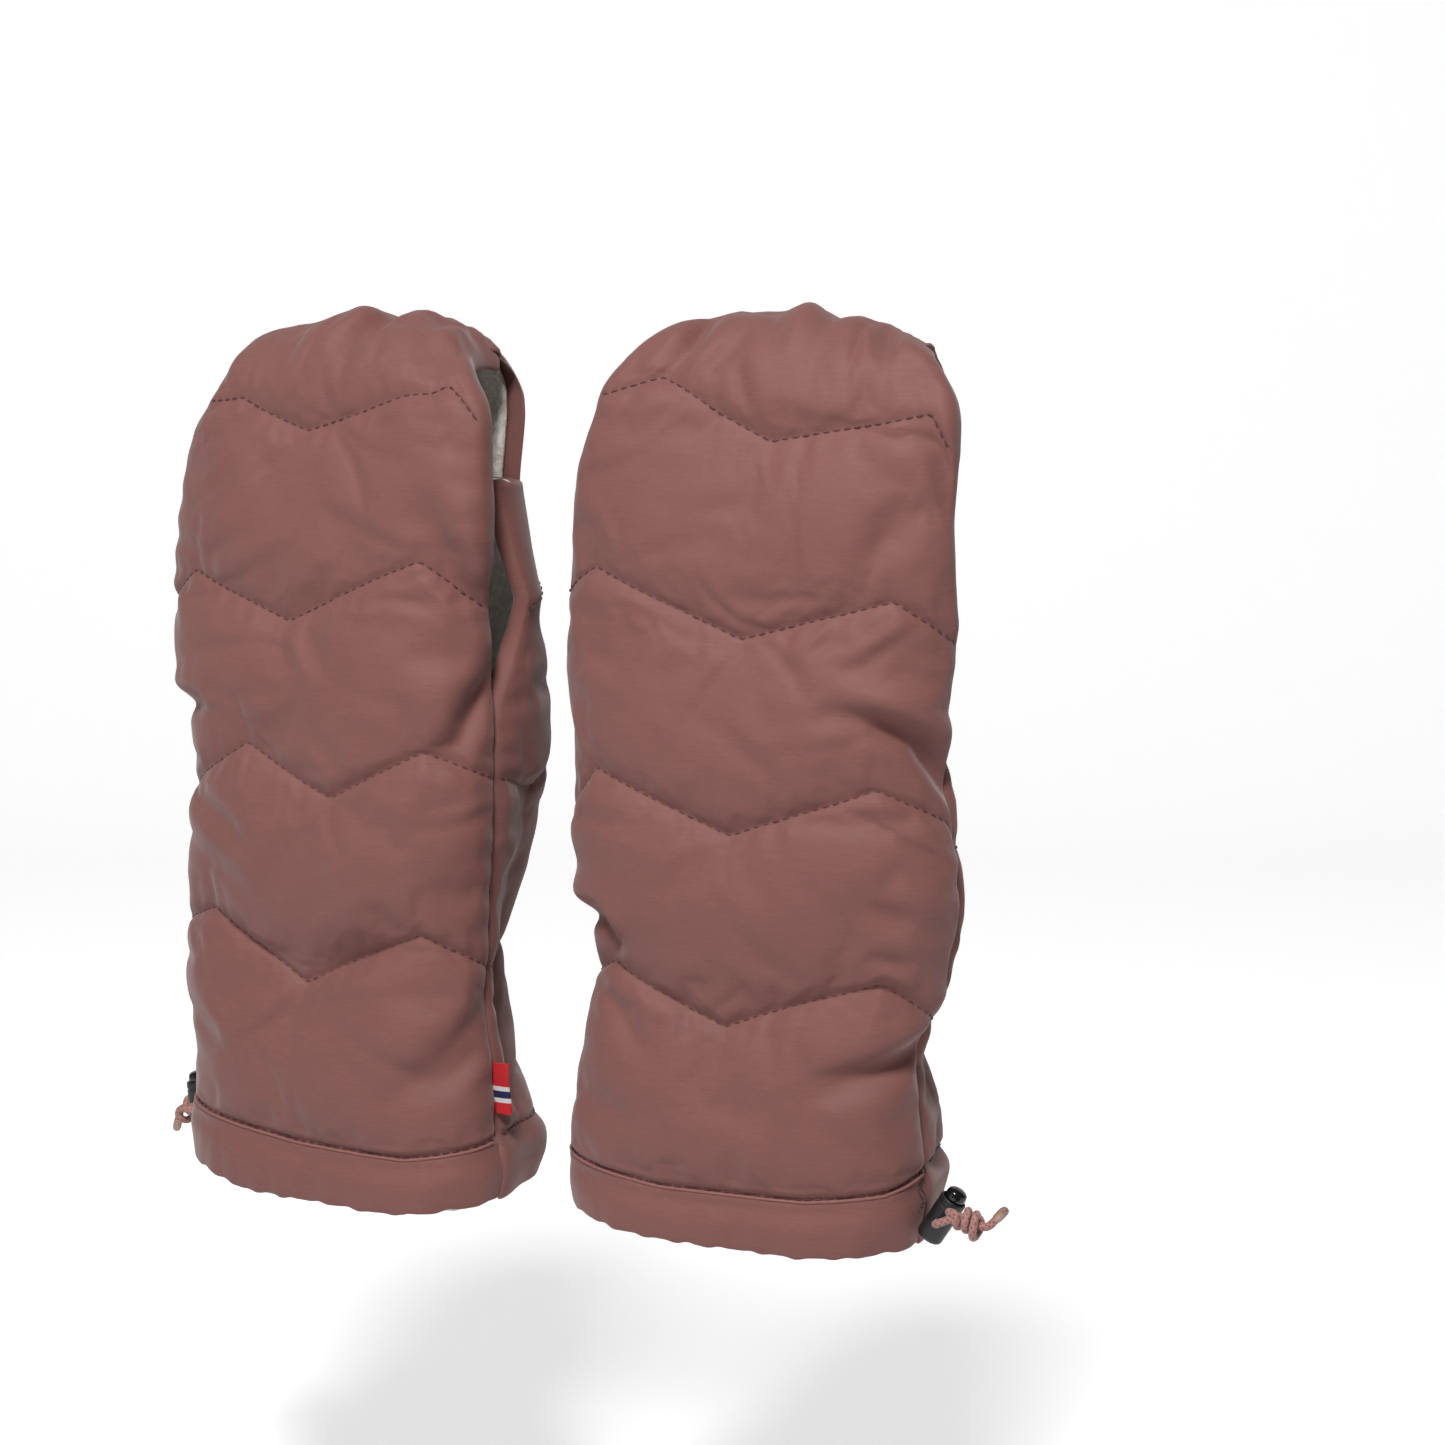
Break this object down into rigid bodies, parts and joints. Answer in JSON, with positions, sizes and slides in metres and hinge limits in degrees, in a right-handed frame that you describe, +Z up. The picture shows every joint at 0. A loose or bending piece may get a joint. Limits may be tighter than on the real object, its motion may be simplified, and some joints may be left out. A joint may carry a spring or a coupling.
{
  "type": "stroller hand muff",
  "caption": "Quilted, pile-lined hand muffs that hang side by side over a pram handlebar, each with a back flap on press studs and a hem drawcord with a cord lock.",
  "frame": {"origin": "on the handlebar's centre line, midway between the muffs", "axes": "+X along the handlebar from the left muff to the right one as the picture shows them, -Y towards the viewer at the quilted front, +Z up"},
  "size_m": [0.3414, 0.0866, 0.3041],
  "materials": {
    "shell": "fine plain weave, soft sheen",
    "wadding": "matte fibre fill",
    "lining": "matte pile",
    "channel": "matte weave",
    "cord": "braided, matte",
    "tip": "gloss",
    "barrel": "matte",
    "button": "gloss",
    "spring": "satin",
    "press_stud": "satin",
    "tab": "striped, woven"
  },
  "bodies": {
    "left_muff": {"left_front_shell": "shell", "left_front_wadding": "wadding", "left_front_lining": "lining", "left_back_shell": "shell", "left_back_wadding": "wadding", "left_back_lining": "lining", "left_hem_channel": "channel", "left_drawcord": "cord", "left_lock_body": "barrel", "left_lock_spring": "spring", "left_cord_stub": "cord", "left_inner_snap_stud": "press_stud", "left_outer_snap_stud": "press_stud", "left_side_tab": "tab"},
    "left_flap": {"left_flap_shell": "shell", "left_flap_lining": "lining", "left_inner_snap_socket": "press_stud", "left_outer_snap_socket": "press_stud"},
    "left_button": {"left_lock_button": "button"},
    "left_cord_end": {"left_cord_knot": "cord", "left_cord_tail": "cord", "left_cord_tip": "tip"},
    "right_muff": {"right_front_shell": "shell", "right_front_wadding": "wadding", "right_front_lining": "lining", "right_back_shell": "shell", "right_back_wadding": "wadding", "right_back_lining": "lining", "right_hem_channel": "channel", "right_drawcord": "cord", "right_lock_body": "barrel", "right_lock_spring": "spring", "right_cord_stub": "cord", "right_inner_snap_stud": "press_stud", "right_outer_snap_stud": "press_stud"},
    "right_flap": {"right_flap_shell": "shell", "right_flap_lining": "lining", "right_inner_snap_socket": "press_stud", "right_outer_snap_socket": "press_stud"},
    "right_button": {"right_lock_button": "button"},
    "right_cord_end": {"right_cord_knot": "cord", "right_cord_tail": "cord", "right_cord_tip": "tip"}
  },
  "joints": [
    {"name": "muff_spacing", "type": "slide", "parent": "left_muff", "child": "right_muff", "axis": [1, 0, 0], "range_m": [-0.01, 0.15]},
    {"name": "left_flap_hinge", "type": "hinge", "parent": "left_muff", "child": "left_flap", "pos_m": [-0.07477, 0.02351, 0.0217], "axis": [0.9944, -0.1028, -0.0262], "range_deg": [0, 110]},
    {"name": "left_lock_press", "type": "slide", "parent": "left_muff", "child": "left_button", "axis": [0.1126, -0.0116, -0.9936], "range_m": [0, 0.002], "stiffness_N_per_m": 600, "deforming": ["left_lock_spring"]},
    {"name": "left_cord_pull", "type": "slide", "parent": "left_muff", "child": "left_cord_end", "axis": [0.1028, 0.9947, 0], "range_m": [0, 0.05], "deforming": ["left_cord_stub"]},
    {"name": "right_flap_hinge", "type": "hinge", "parent": "right_muff", "child": "right_flap", "pos_m": [0.0773, 0.02371, 0.02169], "axis": [0.9976, 0.0575, -0.0384], "range_deg": [0, 110]},
    {"name": "right_lock_press", "type": "slide", "parent": "right_muff", "child": "right_button", "axis": [-0.532, -0.0307, -0.8462], "range_m": [0, 0.002], "stiffness_N_per_m": 600, "deforming": ["right_lock_spring"]},
    {"name": "right_cord_pull", "type": "slide", "parent": "right_muff", "child": "right_cord_end", "axis": [0.0576, -0.9983, 0], "range_m": [0, 0.05], "deforming": ["right_cord_stub"]}
  ]
}
